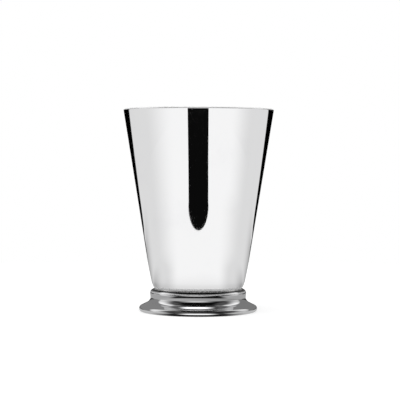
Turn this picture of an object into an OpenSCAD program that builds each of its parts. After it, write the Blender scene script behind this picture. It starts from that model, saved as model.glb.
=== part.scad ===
// Julep cup: a plain tapered beaker drawn from polished sheet, seated in a low moulded foot ring.
// The origin is the middle of the ring that it stands on, and +Z is up.

/* [Cup] */
// Outside diameter of the rim
rim_d = 81.9; // [78:0.1:86]
// Height from the table to the top of the rim
cup_h = 110.4; // [100:0.2:120]
// Lean of the straight side from upright, in degrees
side_lean = 9.2; // [8.6:0.1:9.8]
// Height above the table at which the straight side ends
side_end_h = 28.4; // [26:0.2:31]
// Radius of the slow curve below the straight side
belly_r = 225; // [180:5:320]
// Radius of the rounded shoulder under the cup
shoulder_r = 13; // [12:0.2:14]
// Height of the cup's underside above the table
floor_h = 6.6; // [6:0.1:7.4]
// Thickness of the drawn wall and floor
wall = 1; // [0.8:0.1:1.2]
// Thickness of the rounded lip
lip_t = 1.5; // [1.3:0.1:1.8]
// Height over which the lip thins to the wall
lip_h = 4; // [2.5:0.5:8]

/* [Foot] */
// Diameter of the foot at its widest line
foot_d = 64.6; // [62:0.2:70]
// Height from the table to the top of the bead round the collar
foot_h = 12.3; // [11.8:0.1:12.9]
// Thickness of the spun sheet
foot_t = 1; // [0.8:0.1:1.2]
// Radius of the edge below the widest line
edge_lower_r = 1.6; // [1.4:0.1:2]
// Radius of the edge above the widest line
edge_upper_r = 1.8; // [1.5:0.1:2.4]
// Radius of the hollow moulding above the flank
cove_r = 3.6; // [3:0.1:4.2]
// Tilt of the hollow moulding from upright where it meets the crease, in degrees
cove_tilt = 7; // [0:1:15]
// Radius of the bead
bead_r = 2.4; // [2:0.1:2.8]
// Height of the bead's widest line above the crease
band_h = 2.3; // [2:0.1:2.7]
// Depth of the crease inside the bead's widest line
crease_in = 0.25; // [0.15:0.05:0.5]
// Width of the flat turned in under the edge, on which the cup stands
stand_w = 2.2; // [1.5:0.1:3]

/* [Joint] */
// Length of the collar that is turned down along the cup's shoulder
seat_len = 4; // [3:0.2:4.6]
// Thickness of the solder between collar and shoulder
solder_t = 0.2; // [0.1:0.05:0.3]
// Width of the solder fillet in the groove above the collar
fillet_w = 0.4; // [0.2:0.1:0.7]

/* [Hidden] */
$fn = 120;
// Turn of one step along a round stretch, and along the slow curve, in degrees
step_a = 5;
slow_step_a = 0.5;
// Angle that a length spans on a circle, in degrees
function span(length, r) = length / r * 180 / PI;
// A point at a radius and an angle from a centre. Profiles are [distance from the axis, height]
function polar(centre, r, angle) = centre + r * [cos(angle), sin(angle)];
// Points along a round stretch, both ends included
function arc(centre, r, from, to, step = step_a) =
    let(steps = ceil(abs(to - from) / step))
    [for (i = [0:steps]) polar(centre, r, from + (to - from) * i / steps)];

// Cup, from the lip down: the lip's round, the straight side, the slow curve and the shoulder
lip_r = lip_t / 2;
lip_c = [rim_d / 2 - lip_r, cup_h - lip_r];
side_top = polar(lip_c, lip_r, -side_lean);
side_end = [side_top[0] - (side_top[1] - side_end_h) * tan(side_lean), side_end_h];
belly_c = polar(side_end, -belly_r, -side_lean);
shoulder_h = floor_h + shoulder_r;
shoulder_in = sqrt((belly_r - shoulder_r) ^ 2 - (belly_c[1] - shoulder_h) ^ 2);
shoulder_c = [belly_c[0] + shoulder_in, shoulder_h];
belly_end_a = atan2(shoulder_h - belly_c[1], shoulder_in);
// The lip thins to the wall at this point on the inner side
lip_foot_h = cup_h - lip_h;
lip_foot = [side_top[0] - (side_top[1] - lip_foot_h) * tan(side_lean) - wall / cos(side_lean), lip_foot_h];

// Seat: the collar is turned down along a circle round the shoulder, one solder thickness away
seat_r = shoulder_r + solder_t;
seat_top_a = -asin((shoulder_h - foot_h) / seat_r);
seat_end_a = seat_top_a - span(seat_len, seat_r);
fillet_cup_a = seat_top_a + span(fillet_w, shoulder_r);

// Bead: its top lies on the seat circle
bead_c = [shoulder_c[0] + seat_r * cos(seat_top_a), foot_h - bead_r];
bead_top_a = 90;
fillet_bead_a = bead_top_a - span(fillet_w, bead_r);
// Band: it runs straight down from the bead to the crease
crease = [bead_c[0] + bead_r - crease_in, bead_c[1] - band_h];
to_crease = crease - bead_c;
band_a = atan2(to_crease[1], to_crease[0]) + acos(bead_r / norm(to_crease));
// Cove and edge, with a straight flank that touches both
cove_c = polar(crease, cove_r, cove_tilt);
edge_c = [foot_d / 2 - edge_upper_r, edge_lower_r];
to_cove = cove_c - edge_c;
flank_a = atan2(to_cove[1], to_cove[0]) - acos((edge_upper_r + cove_r) / norm(to_cove));
// Lower edge, and the flat turned in under it
lower_c = [foot_d / 2 - edge_lower_r, edge_lower_r];
stand_in = lower_c[0] - stand_w;
// Fold: the inside of the bead meets the back of the turned collar here
fold_bead_r = bead_r - foot_t;
fold_seat_r = seat_r + foot_t;
to_bead = bead_c - shoulder_c;
fold_d = norm(to_bead);
fold_bead_a = atan2(-to_bead[1], -to_bead[0])
    - acos((fold_d ^ 2 + fold_bead_r ^ 2 - fold_seat_r ^ 2) / (2 * fold_d * fold_bead_r));
fold_seat_a = atan2(to_bead[1], to_bead[0])
    + acos((fold_d ^ 2 + fold_seat_r ^ 2 - fold_bead_r ^ 2) / (2 * fold_d * fold_seat_r));

// The cup's outer line below the straight side, with a point at each end of the seat
cup_under = concat(
    arc(belly_c, belly_r, -side_lean, belly_end_a, slow_step_a),
    arc(shoulder_c, shoulder_r, belly_end_a, fillet_cup_a),
    arc(shoulder_c, shoulder_r, fillet_cup_a, seat_end_a),
    arc(shoulder_c, shoulder_r, seat_end_a, -90)
);
cup_inside = concat(
    arc(shoulder_c, shoulder_r - wall, -90, belly_end_a),
    arc(belly_c, belly_r - wall, belly_end_a, -side_lean, slow_step_a)
);

// One drawn shell: even wall, flat floor, and a lip that thickens inwards to a full round
module cup_body() {
    profile = concat(
        arc(lip_c, lip_r, 180 - side_lean, -side_lean),
        cup_under,
        [[0, floor_h], [0, floor_h + wall]],
        cup_inside,
        [lip_foot]
    );
    color("gainsboro") rotate_extrude() polygon(profile);
}

// One spun sheet, from the flat under the edge up over the bead and down along the shoulder
module foot_ring() {
    outside = concat(
        [[stand_in, 0]],
        arc(lower_c, edge_lower_r, -90, 0),
        arc(edge_c, edge_upper_r, 0, flank_a),
        arc(cove_c, cove_r, 180 + flank_a, 180 + cove_tilt),
        arc(bead_c, bead_r, band_a, fillet_bead_a),
        arc(bead_c, bead_r, fillet_bead_a, bead_top_a),
        arc(shoulder_c, seat_r, seat_top_a, seat_end_a)
    );
    inside = concat(
        arc(shoulder_c, fold_seat_r, seat_end_a, fold_seat_a),
        arc(bead_c, fold_bead_r, fold_bead_a, band_a),
        [polar(crease, -foot_t, band_a)],
        arc(cove_c, cove_r + foot_t, 180 + cove_tilt, 180 + flank_a),
        arc(edge_c, edge_upper_r - foot_t, flank_a, 0),
        arc(lower_c, edge_lower_r - foot_t, 0, -90),
        [[stand_in, foot_t]]
    );
    color("silver") rotate_extrude() polygon(concat(outside, inside));
}

// Solder that fills the seat and the groove above it, and holds the cup in its foot
module solder_seam() {
    profile = concat(
        arc(shoulder_c, shoulder_r, fillet_cup_a, seat_end_a),
        arc(shoulder_c, seat_r, seat_end_a, seat_top_a),
        arc(bead_c, bead_r, bead_top_a, fillet_bead_a)
    );
    color("darkgray") rotate_extrude() polygon(profile);
}

cup_body();
foot_ring();
solder_seam();
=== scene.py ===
from math import acos, atan2, asin, cos, degrees, hypot, pi, radians, sin, sqrt, tan

import bpy
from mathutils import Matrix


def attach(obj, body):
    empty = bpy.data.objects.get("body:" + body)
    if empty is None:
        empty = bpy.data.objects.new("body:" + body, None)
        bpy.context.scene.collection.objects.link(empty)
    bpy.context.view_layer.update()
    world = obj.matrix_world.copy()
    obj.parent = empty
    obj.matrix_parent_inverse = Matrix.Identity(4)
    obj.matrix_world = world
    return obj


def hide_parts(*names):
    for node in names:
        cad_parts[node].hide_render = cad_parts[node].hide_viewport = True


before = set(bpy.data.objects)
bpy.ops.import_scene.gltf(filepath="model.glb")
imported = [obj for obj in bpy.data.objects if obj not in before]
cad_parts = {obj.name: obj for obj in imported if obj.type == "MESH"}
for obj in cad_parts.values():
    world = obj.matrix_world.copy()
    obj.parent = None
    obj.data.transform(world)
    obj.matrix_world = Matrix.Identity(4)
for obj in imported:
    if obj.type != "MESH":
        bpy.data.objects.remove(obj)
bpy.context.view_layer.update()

# ---------------------------------------------------------------- cup
# The cup is one piece of sheet drawn to a tapered beaker, with a flat floor and a rounded shoulder.
# Its lip is turned to a full round, a little thicker than the wall. Outside it is polished to a
# mirror, inside it keeps the fine rings of the satin wheel.
rim_radius = 0.04095
cup_height = 0.1104
lean = 9.2  # of the side from upright, in degrees
straight_end = 0.0284  # height where the straight side passes into the slow curve
slow_radius = 0.225
shoulder_radius = 0.013
floor_height = 0.0066
wall = 0.001
lip_radius = 0.00075
lip_depth = 0.004  # over which the lip thins to the wall
slow_step = 0.5  # in degrees, along the slow curve and the shoulder
shoulder_step = 2.5
ROUND_STEPS = 320  # in a full turn
HOLD = 0.00015  # from a corner to the vertex that holds it


def on_circle(centre, radius, angle):
    """A point of the profile at an angle from a centre. Points are (distance from axis, height)."""
    return (centre[0] + radius * cos(radians(angle)), centre[1] + radius * sin(radians(angle)))


def start_profile(name, point):
    """A lone vertex to draw a profile from: a small plane merged at its middle."""
    bpy.ops.object.select_all(action="DESELECT")
    bpy.ops.mesh.primitive_plane_add(size=0.001, location=(point[0], 0, point[1]))
    piece = bpy.context.object
    piece.name = name
    bpy.ops.object.transform_apply(location=True, rotation=False, scale=False)
    bpy.ops.object.mode_set(mode="EDIT")
    bpy.ops.mesh.select_all(action="SELECT")
    bpy.ops.mesh.merge(type="CENTER")
    return piece


def draw_line(start, end, holds=True):
    """Extrudes the last vertex along a straight stretch, with a holding vertex near either end."""
    length = hypot(end[0] - start[0], end[1] - start[1])
    stops = [HOLD / length, 1 - HOLD / length, 1] if holds else [1]
    done = 0
    for stop in stops:
        step = ((end[0] - start[0]) * (stop - done), 0, (end[1] - start[1]) * (stop - done))
        bpy.ops.mesh.extrude_vertices_move(TRANSFORM_OT_translate={"value": step})
        done = stop
    return end


def draw_round(centre, radius, start, end, step):
    """Spins the last vertex about a centre, from one angle to another, in steps of some degrees."""
    bpy.ops.mesh.spin(
        steps=max(1, round(abs(end - start) / step)),
        angle=radians(end - start),
        center=(centre[0], 0, centre[1]),
        axis=(0, 1, 0),
    )
    return on_circle(centre, radius, end)


def revolve(piece, sharp=10):
    """Spins the profile round the cup's axis, closes the seam and smooths all but its corners."""
    bpy.ops.mesh.select_all(action="SELECT")
    bpy.ops.mesh.spin(steps=ROUND_STEPS, angle=2 * pi, center=(0, 0, 0), axis=(0, 0, 1))
    bpy.ops.mesh.select_all(action="SELECT")
    bpy.ops.mesh.remove_doubles(threshold=0.000002)
    bpy.ops.mesh.normals_make_consistent(inside=False)
    bpy.ops.object.mode_set(mode="OBJECT")
    bpy.ops.object.shade_smooth_by_angle(angle=radians(sharp))


lip_centre = (rim_radius - lip_radius, cup_height - lip_radius)
side_top = on_circle(lip_centre, lip_radius, -lean)
side_end = (side_top[0] - (side_top[1] - straight_end) * tan(radians(lean)), straight_end)
slow_centre = on_circle(side_end, -slow_radius, -lean)
shoulder_height = floor_height + shoulder_radius
shoulder_drop = shoulder_height - slow_centre[1]
shoulder_reach = sqrt((slow_radius - shoulder_radius) ** 2 - shoulder_drop**2)
shoulder_centre = (slow_centre[0] + shoulder_reach, shoulder_height)
slow_end = degrees(atan2(shoulder_drop, shoulder_reach))
lip_foot_in = (lip_depth - cup_height + side_top[1]) * tan(radians(lean))
lip_foot = (side_top[0] - lip_foot_in - wall / cos(radians(lean)), cup_height - lip_depth)

cup = start_profile("cup_shell", (0, floor_height + wall))
at = draw_line((0, floor_height + wall), (shoulder_centre[0], floor_height + wall))
at = draw_round(shoulder_centre, shoulder_radius - wall, -90, slow_end, shoulder_step)
at = draw_round(slow_centre, slow_radius - wall, slow_end, -lean, slow_step)
at = draw_line(at, lip_foot)
at = draw_line(at, on_circle(lip_centre, lip_radius, 180 - lean))
at = draw_round(lip_centre, lip_radius, 180 - lean, -lean, step=5)
at = draw_line(at, side_end)
at = draw_round(slow_centre, slow_radius, -lean, slow_end, slow_step)
at = draw_round(shoulder_centre, shoulder_radius, slow_end, -90, shoulder_step)
draw_line(at, (0, floor_height))
revolve(cup)


def add_node(tree, kind, *values, **settings):
    """A node with its settings. Its inputs follow in order: a value, a socket to link, or None."""
    node = tree.nodes.new(kind)
    for name, value in settings.items():
        setattr(node, name, value)
    for socket, value in zip(node.inputs, values):
        if isinstance(value, bpy.types.NodeSocket):
            tree.links.new(value, socket)
        elif value is not None:
            socket.default_value = value
    return node


def calc(tree, operation, *values):
    """The result of one sum."""
    return add_node(tree, "ShaderNodeMath", *values, operation=operation).outputs[0]


def fade(tree, value, start, end, before=0.0, after=1.0, passage="SMOOTHSTEP"):
    """One level before start and another after end, with a smooth passage between them."""
    levels = (value, start, end, before, after)
    node = add_node(tree, "ShaderNodeMapRange", *levels, interpolation_type=passage)
    return node.outputs["Result"]


def between(tree, value, low, high, soft):
    """1 between two values and 0 outside them, with soft edges."""
    rise = fade(tree, value, low - soft / 2, low + soft / 2)
    fall = fade(tree, value, high - soft / 2, high + soft / 2, 1.0, 0.0)
    return calc(tree, "MULTIPLY", rise, fall)


def blend_colour(tree, share, first, second):
    """The first colour where the share is 0 and the second where it is 1."""
    node = add_node(tree, "ShaderNodeMix", data_type="RGBA")
    for socket, value in ((0, share), (6, first), (7, second)):
        if isinstance(value, bpy.types.NodeSocket):
            tree.links.new(value, node.inputs[socket])
        else:
            node.inputs[socket].default_value = value
    return node.outputs[2]


def start_metal(name):
    """A bare metal, with the turned coordinates of a piece spun round the axis."""
    material = bpy.data.materials.new(name)
    material.use_nodes = True
    tree = material.node_tree
    shader = tree.nodes["Principled BSDF"]
    shader.inputs["Metallic"].default_value = 1.0
    place = add_node(tree, "ShaderNodeTexCoord").outputs["Object"]
    x, y, z = add_node(tree, "ShaderNodeSeparateXYZ", place).outputs
    around = calc(tree, "ARCTAN2", y, x)
    squares = calc(tree, "ADD", calc(tree, "MULTIPLY", x, x), calc(tree, "MULTIPLY", y, y))
    out = calc(tree, "SQRT", squares)
    return material, tree, shader, place, around, out, z


def patches(tree, place, scale, detail, roughness=0.6):
    """An uneven level from 0 to 1, in soft patches that are smaller for a larger scale."""
    noise = add_node(tree, "ShaderNodeTexNoise", place, None, scale, detail, roughness)
    return noise.outputs[0]


def wheel_lines(tree, around, across, fineness, length=1.5, detail=3.0):
    """Lines that run round the piece, as a polishing wheel leaves them."""
    stretched = add_node(
        tree,
        "ShaderNodeCombineXYZ",
        calc(tree, "MULTIPLY", calc(tree, "SINE", around), length),
        calc(tree, "MULTIPLY", calc(tree, "COSINE", around), length),
        calc(tree, "MULTIPLY", across, fineness),
    ).outputs[0]
    return patches(tree, stretched, 1.0, detail)


def add_relief(tree, shader, level, strength, depth):
    """Lets the surface rise and fall with a level, by a depth in metres."""
    bump = add_node(tree, "ShaderNodeBump", strength, depth, None, level)
    tree.links.new(bump.outputs[0], shader.inputs["Normal"])


def pale_satin(tree, shader, sheen, satin_and_painted_light, dull, pale):
    """The polish with its own sheen, and a duller and paler satin by a share: on the lip worn satin
    that is also a painted highlight, and elsewhere painted highlights and painted light.
    """
    tree.links.new(calc(tree, "MULTIPLY_ADD", satin_and_painted_light, dull, sheen), shader.inputs["Roughness"])
    tree.links.new(calc(tree, "MULTIPLY_ADD", satin_and_painted_light, -pale, 1.0), shader.inputs["Metallic"])


# Mirror polish: almost no grain, with faint wheel lines and a few finger smears. On top of the lip
# it is a pale satin, rubbed by hands and cloths and also a painted highlight along the lip, and
# just above the joint a pale satin band is painted light
MIRROR = (0.94, 0.94, 0.945, 1)
MIRROR_SOFT = (0.91, 0.91, 0.92, 1)
MIRROR_GRAIN = (0.02, 0.04)  # roughness between the wheel lines and on them
SPAN = (0.3, 0.7)  # where most of an uneven level lies
lip_wear_and_highlight_heights = (cup_height - 0.00075, cup_height - 0.0004)
painted_light_heights = (0.0132, 0.0144)
mirror, tree, shader, place, around, _, z = start_metal("mirror_polish")
lines = wheel_lines(tree, around, z, fineness=2600)
smears = patches(tree, place, scale=38.0, detail=4.0, roughness=0.55)
soft = fade(tree, smears, 0.52, 0.78)
tree.links.new(blend_colour(tree, soft, MIRROR, MIRROR_SOFT), shader.inputs["Base Color"])
grain = fade(tree, lines, *SPAN, *MIRROR_GRAIN)
sheen = calc(tree, "ADD", grain, fade(tree, smears, 0.5, 0.8, 0.0, 0.03))
# The lip's pale satin: rubbed wear, and also a painted highlight along the lip
lip_wear_and_highlight = fade(tree, z, *lip_wear_and_highlight_heights)
lip_wear_and_highlight = calc(tree, "MULTIPLY", lip_wear_and_highlight, fade(tree, smears, 0.2, 0.6, 0.85, 1.0))
# Painted light: a pale satin on the cup below these heights, just above the joint
painted_light_band = fade(tree, z, *painted_light_heights, 0.9, 0.0)
# Where the polish is paled to satin: worn and painted highlight on the lip, painted light above the
# joint
satin_and_painted_light = calc(tree, "MAXIMUM", lip_wear_and_highlight, painted_light_band)
pale_satin(tree, shader, sheen, satin_and_painted_light, dull=0.4, pale=0.85)
add_relief(tree, shader, lines, strength=0.25, depth=0.000002)

# Satin inside: rings left by the wheel, laid round the axis on wall and floor alike
SATIN_LOW = (0.87, 0.87, 0.88, 1)
SATIN_HIGH = (0.95, 0.95, 0.955, 1)
satin, tree, shader, _, around, out, z = start_metal("satin_inside")
along = calc(tree, "ADD", z, out)
rings = wheel_lines(tree, around, along, fineness=5200, length=2.5, detail=5.0)
broad = wheel_lines(tree, around, along, fineness=700, length=0.8, detail=2.0)
tree.links.new(blend_colour(tree, rings, SATIN_LOW, SATIN_HIGH), shader.inputs["Base Color"])
sheen = fade(tree, rings, 0.25, 0.75, 0.2, 0.3)
sheen = calc(tree, "ADD", sheen, fade(tree, broad, *SPAN, 0.0, 0.05))
tree.links.new(sheen, shader.inputs["Roughness"])
shader.inputs["Anisotropic"].default_value = 0.6
round_axis = add_node(tree, "ShaderNodeTangent", direction_type="RADIAL", axis="Z").outputs[0]
tree.links.new(round_axis, shader.inputs["Tangent"])
add_relief(tree, shader, rings, strength=0.35, depth=0.000008)

cup.data.materials.append(mirror)
cup.data.materials.append(satin)
for face in cup.data.polygons:
    middle = face.center
    faces_axis = face.normal.x * middle.x + face.normal.y * middle.y < 0
    faces_up = face.normal.z > 0.99
    inside = floor_height + wall / 2 < middle.z < cup_height - lip_radius * 2
    if inside and (faces_axis or faces_up):
        face.material_index = 1
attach(cup, "root")
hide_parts("cup_body")

# ---------------------------------------------------------------- foot
# The foot is a ring spun from one strip of sheet: turned in to a flat that stands on the table,
# round the edge, up a flank and a hollow to a crease, a plain band and a bead, and from there down
# again as a collar that fits the cup's shoulder. It is polished like the cup.
foot_radius = 0.0323
foot_height = 0.0123
foot_sheet = 0.001
edge_lower = 0.0016  # radii of the edge, below and above its widest line
edge_upper = 0.0018
hollow = 0.0036
hollow_tilt = 7  # of the hollow from upright at the crease, in degrees
bead = 0.0024
band_height = 0.0023  # from the crease to the bead's widest line
crease_depth = 0.00025
stand_width = 0.0022
collar_length = 0.004
solder = 0.0002  # thickness of the gap that the solder fills


def turned(length, radius):
    """The angle that a length spans on a circle."""
    return degrees(length / radius)


def heading(start, end):
    """The angle of the way from one point to another."""
    return degrees(atan2(end[1] - start[1], end[0] - start[0]))


def corner(near, far, apart):
    """The angle between two sides of a triangle, with the third side opposite."""
    return degrees(acos((near**2 + far**2 - apart**2) / (2 * near * far)))


seat = shoulder_radius + solder
seat_top = -degrees(asin((shoulder_height - foot_height) / seat))
seat_end = seat_top - turned(collar_length, seat)
bead_centre = (on_circle(shoulder_centre, seat, seat_top)[0], foot_height - bead)
crease = (bead_centre[0] + bead - crease_depth, bead_centre[1] - band_height)
to_crease = hypot(crease_depth - bead, band_height)
band_angle = heading(bead_centre, crease) + degrees(acos(bead / to_crease))
hollow_centre = on_circle(crease, hollow, hollow_tilt)
hollow_back = hollow + foot_sheet
edge_centre = (foot_radius - edge_upper, edge_lower)
lower_centre = (foot_radius - edge_lower, edge_lower)
to_hollow = hypot(hollow_centre[0] - edge_centre[0], hollow_centre[1] - edge_centre[1])
flank = heading(edge_centre, hollow_centre) - degrees(acos((edge_upper + hollow) / to_hollow))
bead_back = bead - foot_sheet
collar_back = seat + foot_sheet
bead_apart = hypot(bead_centre[0] - shoulder_centre[0], bead_centre[1] - shoulder_centre[1])
to_shoulder = heading(bead_centre, shoulder_centre)
to_bead = heading(shoulder_centre, bead_centre)
fold_at_bead = to_shoulder + 360 - corner(bead_apart, bead_back, collar_back)
fold_at_collar = to_bead + corner(bead_apart, collar_back, bead_back)
stand_inside = lower_centre[0] - stand_width

foot = start_profile("foot_moulding", (stand_inside, 0))
at = draw_line((stand_inside, 0), (lower_centre[0], 0))
at = draw_round(lower_centre, edge_lower, -90, 0, step=5)
at = draw_round(edge_centre, edge_upper, 0, flank, step=4)
at = draw_line(at, on_circle(hollow_centre, hollow, 180 + flank))
at = draw_round(hollow_centre, hollow, 180 + flank, 180 + hollow_tilt, step=3)
at = draw_line(at, on_circle(bead_centre, bead, band_angle))
at = draw_round(bead_centre, bead, band_angle, 90, step=4)
at = draw_round(shoulder_centre, seat, seat_top, seat_end, step=3)
at = draw_line(at, on_circle(shoulder_centre, collar_back, seat_end))
at = draw_round(shoulder_centre, collar_back, seat_end, fold_at_collar, step=3)
at = draw_round(bead_centre, bead_back, fold_at_bead, band_angle, step=8)
at = draw_line(at, on_circle(crease, -foot_sheet, band_angle), holds=False)
at = draw_line(at, on_circle(hollow_centre, hollow_back, 180 + hollow_tilt), holds=False)
at = draw_round(hollow_centre, hollow_back, 180 + hollow_tilt, 180 + flank, step=4)
at = draw_line(at, on_circle(edge_centre, edge_upper - foot_sheet, flank))
at = draw_round(edge_centre, edge_upper - foot_sheet, flank, 0, step=8)
at = draw_round(lower_centre, edge_lower - foot_sheet, 0, -90, step=8)
at = draw_line(at, (stand_inside, foot_sheet))
draw_line(at, (stand_inside, 0))
revolve(foot)

# Polished strip: the same mirror, with near-black painted shade on top of the bead by the joint, a
# thin pale line on the bead's crest that is a painted highlight, and a dull worn ring on the flat
# that it stands on
POLISH_LOW = (0.90, 0.90, 0.91, 1)
POLISH_HIGH = (0.93, 0.93, 0.935, 1)
WORN = (0.55, 0.55, 0.56, 1)
# Painted shade, near black, on top of the bead next to the joint
PAINTED_SHADE = (0.012, 0.0115, 0.011, 1)
worn_rough = 0.35
painted_shade_rough = 0.3
painted_shade_heights = (0.01158, 0.01178)
painted_shade_uneven = 0.0002
crest_highlight_heights = (0.01065, 0.01115)
worn_heights = (0.00002, 0.0001)
polished_foot, tree, shader, place, around, out, z = start_metal("polished_foot")
lines = wheel_lines(tree, around, calc(tree, "ADD", z, out), fineness=3000)
uneven_patches = patches(tree, place, scale=420.0, detail=3.0)
uneven_z = calc(tree, "ADD", z, calc(tree, "MULTIPLY", uneven_patches, painted_shade_uneven))
# Where the painted shade lies: above these heights, with an uneven edge
groove_shade = fade(tree, uneven_z, *painted_shade_heights)
worn = fade(tree, z, *worn_heights, 1.0, 0.0)
tint = blend_colour(tree, fade(tree, lines, *SPAN), POLISH_LOW, POLISH_HIGH)
tint = blend_colour(tree, worn, tint, WORN)
tree.links.new(blend_colour(tree, groove_shade, tint, PAINTED_SHADE), shader.inputs["Base Color"])
sheen = fade(tree, lines, *SPAN, *MIRROR_GRAIN)
sheen = calc(tree, "MAXIMUM", sheen, calc(tree, "MULTIPLY", worn, worn_rough))
sheen = calc(tree, "MAXIMUM", sheen, calc(tree, "MULTIPLY", groove_shade, painted_shade_rough))
# A painted highlight: a pale line round the bead's crest, a little uneven
crest_highlight = between(tree, z, *crest_highlight_heights, soft=0.0003)
crest_highlight = calc(tree, "MULTIPLY", crest_highlight, fade(tree, uneven_patches, 0.2, 0.6, 0.8, 1.0))
pale_satin(tree, shader, sheen, crest_highlight, dull=0.25, pale=0.6)
add_relief(tree, shader, lines, strength=0.3, depth=0.000002)
foot.data.materials.append(polished_foot)
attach(foot, "root")
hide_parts("foot_ring")

# ---------------------------------------------------------------- seam
# Silver solder fills the gap between the cup's shoulder and the collar, and shows as a thin
# hollow fillet in the groove over the bead. It is darker than the sheet and never polished.
fillet = 0.0004
fillet_sag = 0.00007
fillet_faces = 36  # above level, in degrees
fillet_cup = seat_top + turned(fillet, shoulder_radius)
fillet_bead = 90 - turned(fillet, bead)
seam_start = on_circle(shoulder_centre, shoulder_radius, fillet_cup)
seam_low = on_circle(bead_centre, bead, fillet_bead)
seam_middle = ((seam_start[0] + seam_low[0]) / 2, (seam_start[1] + seam_low[1]) / 2)
seam = start_profile("solder_fillet", seam_start)
at = draw_round(shoulder_centre, shoulder_radius, fillet_cup, seat_end, step=3)
at = draw_line(at, on_circle(shoulder_centre, seat, seat_end), holds=False)
at = draw_round(shoulder_centre, seat, seat_end, seat_top, step=3)
at = draw_round(bead_centre, bead, 90, fillet_bead, step=5)
at = draw_line(at, on_circle(seam_middle, -fillet_sag, fillet_faces), holds=False)
draw_line(at, seam_start, holds=False)
revolve(seam, sharp=40)

# Tarnished solder: grey, and lumpy as it froze
SOLDER_LOW = (0.66, 0.655, 0.65, 1)
SOLDER_HIGH = (0.76, 0.755, 0.75, 1)
tarnished, tree, shader, place, *_ = start_metal("tarnished_solder")
shader.inputs["Metallic"].default_value = 0.85
lumps = patches(tree, place, scale=900.0, detail=3.0)
grey = blend_colour(tree, fade(tree, lumps, 0.35, 0.75), SOLDER_LOW, SOLDER_HIGH)
tree.links.new(grey, shader.inputs["Base Color"])
tree.links.new(fade(tree, lumps, *SPAN, 0.15, 0.3), shader.inputs["Roughness"])
add_relief(tree, shader, lumps, strength=0.4, depth=0.00001)
seam.data.materials.append(tarnished)
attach(seam, "root")
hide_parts("solder_seam")

# ---------------------------------------------------------------- table
# A white round table. To the camera it is plain white with the cup's own soft shadow. To mirrors it
# glows with painted light and shade: the high cup sees it white in front and grey to the sides and
# behind, and the low foot sees its near rings and the dark front beyond.
table_radius = 0.4
clearance = 0.00005  # of the table under the foot's level, and of the flags over it
bpy.ops.object.select_all(action="DESELECT")
bpy.ops.mesh.primitive_circle_add(
    vertices=160, radius=table_radius, fill_type="NGON", location=(0, 0, -clearance)
)
table = bpy.context.object
table.name = "table"


def bearing(tree, place):
    """The angle to either side of straight ahead of the cup, in degrees, less than 0 on the left.

    The height of the place comes with it.
    """
    x, y, z = add_node(tree, "ShaderNodeSeparateXYZ", place).outputs
    ahead = calc(tree, "MULTIPLY", y, -1.0)
    return calc(tree, "MULTIPLY", calc(tree, "ARCTAN2", x, ahead), 180 / pi), z


def mix_levels(tree, share, first, second):
    """The first level where the share is 0 and the second where it is 1."""
    return calc(tree, "MULTIPLY_ADD", share, calc(tree, "SUBTRACT", second, first), first)


def lay_shade(tree, turn, reach, bearings, reaches, depth):
    """A shade that deepens between two bearings, and ends between two distances from the axis."""
    deepens = fade(tree, turn, *bearings, 0.0, depth)
    return calc(tree, "MULTIPLY", deepens, fade(tree, reach, *reaches, 1.0, 0.0))


white_table = bpy.data.materials.new("white_table")
white_table.use_nodes = True
tree = white_table.node_tree
tree.nodes.clear()
place = add_node(tree, "ShaderNodeTexCoord").outputs["Object"]
signed_turn, _ = bearing(tree, place)
turn = calc(tree, "ABSOLUTE", signed_turn)
reach = add_node(tree, "ShaderNodeVectorMath", place, operation="LENGTH").outputs["Value"]
sight = add_node(tree, "ShaderNodeLightPath")

# What the cup mirrors: white ahead, greying between two bearings, later on the right far out and
# sooner close by, and shaded round the foot and behind
WHITE_AHEAD = 0.97
GREY_BEHIND = 0.745
greys_from = 38.0
greys_later = 12.0
greys_to = 94.0
greys_to_close = 70.0
right = calc(tree, "GREATER_THAN", signed_turn, 0.0)
later = fade(tree, reach, 0.2, 0.27, 0.0, greys_later)
first_turn = calc(tree, "MULTIPLY_ADD", right, later, greys_from)
last_turn = fade(tree, reach, 0.08, 0.14, greys_to_close, greys_to)
white = fade(tree, turn, first_turn, last_turn, WHITE_AHEAD, GREY_BEHIND)
white = calc(tree, "MULTIPLY", white, fade(tree, reach, 0.022, 0.078, 0.75, 1.0))
close = lay_shade(tree, turn, reach, bearings=(78, 125), reaches=(0.05, 0.13), depth=0.48)
wide = lay_shade(tree, turn, reach, bearings=(110, 165), reaches=(0.25, 0.4), depth=0.5)
rear = calc(tree, "MAXIMUM", close, wide)
white = calc(tree, "MULTIPLY", white, calc(tree, "SUBTRACT", 1.0, rear))

# What the foot mirrors: four rings of painted light and shade, each passing into the next between
# two distances from the axis. The first, by the foot, is a painted shadow, the second has a painted
# bright patch straight ahead, and the third is a little lighter on the left
touching_ends = (0.0331, 0.0341)
bright_ends = (0.0465, 0.0505)
grey_ends = (0.053, 0.0555)
touching_ring = fade(tree, turn, 25, 58, 0.01, 0.5)
bright_patch = fade(tree, turn, 9, 24, 1.2, 0.04)
bright_ring = calc(tree, "ADD", bright_patch, fade(tree, turn, 27, 42, 0.0, 0.5))
grey_ring = fade(tree, signed_turn, -90, 110, 0.46, 0.26)
outer_ring = fade(tree, turn, 42, 62, 0.0, 0.38)
near = mix_levels(tree, fade(tree, reach, *touching_ends), touching_ring, bright_ring)
near = mix_levels(tree, fade(tree, reach, *bright_ends), near, grey_ring)
near = mix_levels(tree, fade(tree, reach, *grey_ends), near, outer_ring)

# The length of a mirrored ray times the cosine of its slant is the height that it came down from,
# which tells the foot, below these heights, from the cup above them
foot_to_cup = (0.0112, 0.0119)
facing = add_node(tree, "ShaderNodeLayerWeight", 0.5).outputs["Facing"]
cosine = calc(tree, "SUBTRACT", 1.0, facing)
height = calc(tree, "MULTIPLY", sight.outputs["Ray Length"], cosine)
mirror_level = mix_levels(tree, fade(tree, height, *foot_to_cup), near, white)

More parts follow.
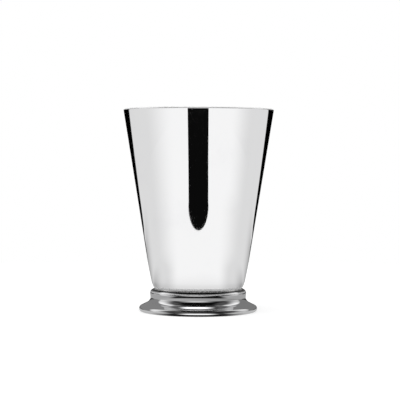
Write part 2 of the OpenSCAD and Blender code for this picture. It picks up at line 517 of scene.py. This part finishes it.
# To the camera most of its white is a glow and only the rest is lit, so the shadow stays pale
WHITE_LIGHT = (1, 1, 1, 1)
LIT_WHITE = (0.5, 0.5, 0.5, 1)
PLAIN_WHITE = (0.8, 0.8, 0.8, 1)
table_glow = 0.62
mirrored = add_node(tree, "ShaderNodeEmission", WHITE_LIGHT, mirror_level).outputs[0]
lit = add_node(tree, "ShaderNodeBsdfDiffuse", LIT_WHITE).outputs[0]
glow = add_node(tree, "ShaderNodeEmission", WHITE_LIGHT, table_glow).outputs[0]
shown = add_node(tree, "ShaderNodeAddShader", lit, glow).outputs[0]
plain = add_node(tree, "ShaderNodeBsdfDiffuse", PLAIN_WHITE).outputs[0]


def see_apart(tree, sight, shown, mirrored, plain):
    """One look for the camera, one for mirrored and refracted rays, and one for all others."""
    glossy, through = sight.outputs["Is Glossy Ray"], sight.outputs["Is Transmission Ray"]
    shiny = calc(tree, "MAXIMUM", glossy, through)
    camera_ray = sight.outputs["Is Camera Ray"]
    look = add_node(tree, "ShaderNodeMixShader", camera_ray, plain, shown).outputs[0]
    return add_node(tree, "ShaderNodeMixShader", shiny, look, mirrored).outputs[0]


look = see_apart(tree, sight, shown, mirrored, plain)
clear = add_node(tree, "ShaderNodeBsdfTransparent").outputs[0]
under = add_node(tree, "ShaderNodeNewGeometry").outputs["Backfacing"]
look = add_node(tree, "ShaderNodeMixShader", under, look, clear).outputs[0]
add_node(tree, "ShaderNodeOutputMaterial", look)
table.data.materials.append(white_table)

# ---------------------------------------------------------------- flags
# Black velvet flags lie on the table in front of the cup and behind it, each with a round end
# towards it. Only the metal sees them: the front one is the dark stripe down the middle of the
# cup, and the back one helps to draw the dark lines at its sides.
velvet = bpy.data.materials.new("black_velvet")
velvet.use_nodes = True
velvet_shader = velvet.node_tree.nodes["Principled BSDF"]
velvet_shader.inputs["Base Color"].default_value = (0.003, 0.003, 0.003, 1)
velvet_shader.inputs["Roughness"].default_value = 1.0
velvet_shader.inputs["Specular IOR Level"].default_value = 0.0


def lay_flag(name, side, near, half, spread, drift):
    """A flag in front (-1) or behind (1), from its near end to beyond the edge of the table.

    Half is its half width where the round end passes into the straight sides, spread is what that
    gains in each metre, and drift is how far the far end lies to the side.
    """
    round_end = 0.044
    far = 0.44
    straight = near + round_end
    bpy.ops.object.select_all(action="DESELECT")
    bpy.ops.mesh.primitive_circle_add(
        vertices=96, radius=half, fill_type="NGON", location=(0, side * straight, clearance)
    )
    flag = bpy.context.object
    flag.name = name
    flag.scale = (1, round_end / half, 1)
    bpy.ops.object.transform_apply(location=True, rotation=False, scale=True)
    bpy.ops.object.mode_set(mode="EDIT")
    bpy.ops.mesh.select_all(action="SELECT")
    bpy.ops.mesh.bisect(
        plane_co=(0, side * straight, 0),
        plane_no=(0, side, 0),
        use_fill=False,
        clear_outer=True,
        threshold=0.00001,
    )
    bpy.ops.mesh.select_all(action="DESELECT")
    bpy.ops.object.mode_set(mode="OBJECT")
    points = flag.data.vertices
    for edge in flag.data.edges:
        edge.select = all(abs(points[v].co.y - side * straight) < 0.00002 for v in edge.vertices)
    bpy.ops.object.mode_set(mode="EDIT")
    bpy.ops.mesh.select_mode(type="EDGE")
    bpy.ops.mesh.extrude_region_move(
        TRANSFORM_OT_translate={"value": (drift, side * (far - straight), 0)}
    )
    bpy.ops.transform.resize(value=(1 + spread * (far - straight) / half, 1, 1))
    bpy.ops.object.mode_set(mode="OBJECT")
    flag.data.materials.append(velvet)
    flag.visible_camera = False
    flag.visible_diffuse = False
    flag.visible_shadow = False


lay_flag("front_flag", side=-1, near=0.149, half=0.0602, spread=0.238, drift=-0.0075)
lay_flag("back_flag", side=1, near=0.25, half=0.1454, spread=0.36, drift=0.0)

# ---------------------------------------------------------------- tent
# The white tent: plain white to the camera and an even light to the table. The metal sees how it
# is hung: dark in front but for a window and a strip light, a bright panel on each side, grey cloth
# behind with a light over it, and a dark gap low at the back that draws the cup's outline.
world = bpy.data.worlds.new("tent")
bpy.context.scene.world = world
world.use_nodes = True
tree = world.node_tree
tree.nodes.clear()
signed_turn, z = bearing(tree, add_node(tree, "ShaderNodeTexCoord").outputs["Generated"])
turn = calc(tree, "ABSOLUTE", signed_turn)
rise = calc(tree, "MULTIPLY", calc(tree, "ARCSINE", z), 180 / pi)
right = calc(tree, "GREATER_THAN", signed_turn, 0.0)
sight = add_node(tree, "ShaderNodeLightPath")
twice = calc(tree, "GREATER_THAN", sight.outputs["Ray Depth"], 2.5)  # one mirror seen in another

# The front, which ends between two bearings: a window a little to the left, and an arched strip
# light that shows only where one mirror is seen in another. Rises are degrees over the horizon
front_ends = (42, 70)
front_dark = 0.004
left_by = 6.0
window_rises = (10, 24.5)
window_light = 0.56
strip_rises = (43.4, 46)
strip_light = 1.6
strip_falls = 0.0009  # with the square of the bearing
front = fade(tree, turn, *front_ends, 1.0, 0.0)
from_left = calc(tree, "ABSOLUTE", calc(tree, "ADD", signed_turn, left_by))
window = between(tree, rise, *window_rises, soft=3)
window = calc(tree, "MULTIPLY", window, fade(tree, from_left, 5, 55, window_light, 0.0))
arch = calc(tree, "MULTIPLY_ADD", calc(tree, "MULTIPLY", turn, turn), strip_falls, rise)
strip = between(tree, arch, *strip_rises, soft=0.8)
strip = calc(tree, "MULTIPLY", strip, fade(tree, from_left, 15, 65, strip_light, 0.0))
front_level = calc(tree, "MULTIPLY_ADD", strip, twice, window)
front_level = calc(tree, "ADD", front_level, front_dark)

# The sides: a panel that brightens along a slant towards the back, later on the right, and is
# darker low down
later_right = 10.0
slant_back = 0.75
panel_top = (56, 66)
panel_low = (20, 36)
low_left = 0.28
low_right = 0.42
slant = calc(tree, "MULTIPLY_ADD", right, -later_right, turn)
slant = calc(tree, "MULTIPLY_ADD", rise, -slant_back, slant)
panel = fade(tree, slant, 42, 88, 0.08, 0.97)
panel = calc(tree, "MULTIPLY", panel, fade(tree, rise, *panel_top, 1.0, 0.0))
low = mix_levels(tree, right, low_left, low_right)
low = calc(tree, "MULTIPLY", low, fade(tree, rise, *panel_low, 1.0, 0.0))
panel = calc(tree, "MULTIPLY", panel, calc(tree, "SUBTRACT", 1.0, low))
panel = mix_levels(tree, twice, panel, fade(tree, slant, 40, 75, 0.12, 0.5))

# The back: grey cloth from the panel's far edge on, and the light in the roof over it
cloth_from = (93, 103)
cloth_left = 0.227
cloth_right = 0.2
roof_bearings = (100, 118)
cloth = mix_levels(tree, right, cloth_left, cloth_right)
cloth = calc(tree, "MULTIPLY", cloth, fade(tree, rise, 40, 60, 1.0, 0.1))
roof = calc(tree, "MULTIPLY", fade(tree, rise, 60, 72), fade(tree, turn, *roof_bearings))
upper = mix_levels(tree, fade(tree, slant, *cloth_from), panel, cloth)
upper = mix_levels(tree, front, upper, front_level)
upper = calc(tree, "MAXIMUM", calc(tree, "ADD", upper, roof), fade(tree, rise, 84, 87))

# Below the horizon it goes on as the table does, but for a dark front
horizon = (-0.5, 2.0)
dark_front_from = (-8, -6)
first_turn = calc(tree, "MULTIPLY_ADD", right, greys_later, greys_from)
lower = fade(tree, turn, first_turn, greys_to, WHITE_AHEAD, GREY_BEHIND)
dark_front = calc(tree, "MULTIPLY", front, fade(tree, rise, *dark_front_from))
lower = calc(tree, "MULTIPLY", lower, calc(tree, "SUBTRACT", 1.0, dark_front))
tent_level = mix_levels(tree, fade(tree, rise, *horizon), lower, upper)

# The gap, which reaches further below the horizon in the middle of the back
gap_bearings = (131, 134)
gap_top = (3.0, 4.2)
gap_foot = fade(tree, turn, 135, 148, 4.7, 6.8, passage="LINEAR")
gap = fade(tree, calc(tree, "ADD", rise, gap_foot), -0.25, 0.25)
gap = calc(tree, "MULTIPLY", gap, fade(tree, rise, *gap_top, 1.0, 0.0))
gap = calc(tree, "MULTIPLY", gap, fade(tree, turn, *gap_bearings))
tent_level = calc(tree, "MULTIPLY", tent_level, calc(tree, "SUBTRACT", 1.0, gap))

mirrored = add_node(tree, "ShaderNodeBackground", WHITE_LIGHT, tent_level).outputs[0]
backdrop = add_node(tree, "ShaderNodeBackground", WHITE_LIGHT, 1.0).outputs[0]
even_light = 0.75
even = add_node(tree, "ShaderNodeBackground", WHITE_LIGHT, even_light).outputs[0]
add_node(tree, "ShaderNodeOutputWorld", see_apart(tree, sight, backdrop, mirrored, even))

# ---------------------------------------------------------------- lamp
# One large soft lamp over the cup gives the table its soft shadow
lamp_data = bpy.data.lights.new("soft_lamp", "AREA")
lamp_data.shape = "DISK"
lamp_data.size = 1.2
lamp_data.energy = 9
lamp = bpy.data.objects.new("soft_lamp", lamp_data)
bpy.context.scene.collection.objects.link(lamp)
lamp.location = (-0.2, -0.3, 1.5)
lamp.rotation_euler = (-0.2, -0.13, 0)
lamp.visible_glossy = False

# ---------------------------------------------------------------- camera
# A long lens in front of the cup, 30 mm below its rim, aimed a little down. Its trace of a turn to
# the right and its roll, all in degrees, are the photograph's
camera_distance = 0.8
camera_height = 0.0807
aimed_down = 1.425
turned_right = 0.0615
rolled = 0.183
camera_data = bpy.data.cameras.new("camera")
camera_data.sensor_width = 36
camera_data.lens = 131.69
camera = bpy.data.objects.new("camera", camera_data)
bpy.context.scene.collection.objects.link(camera)
camera.location = (0, -camera_distance, camera_height)
camera.rotation_euler = (radians(90 - aimed_down), 0, radians(-turned_right))
camera.rotation_euler.rotate_axis("Z", radians(rolled))
bpy.context.scene.camera = camera
bpy.context.scene.view_settings.view_transform = "Standard"
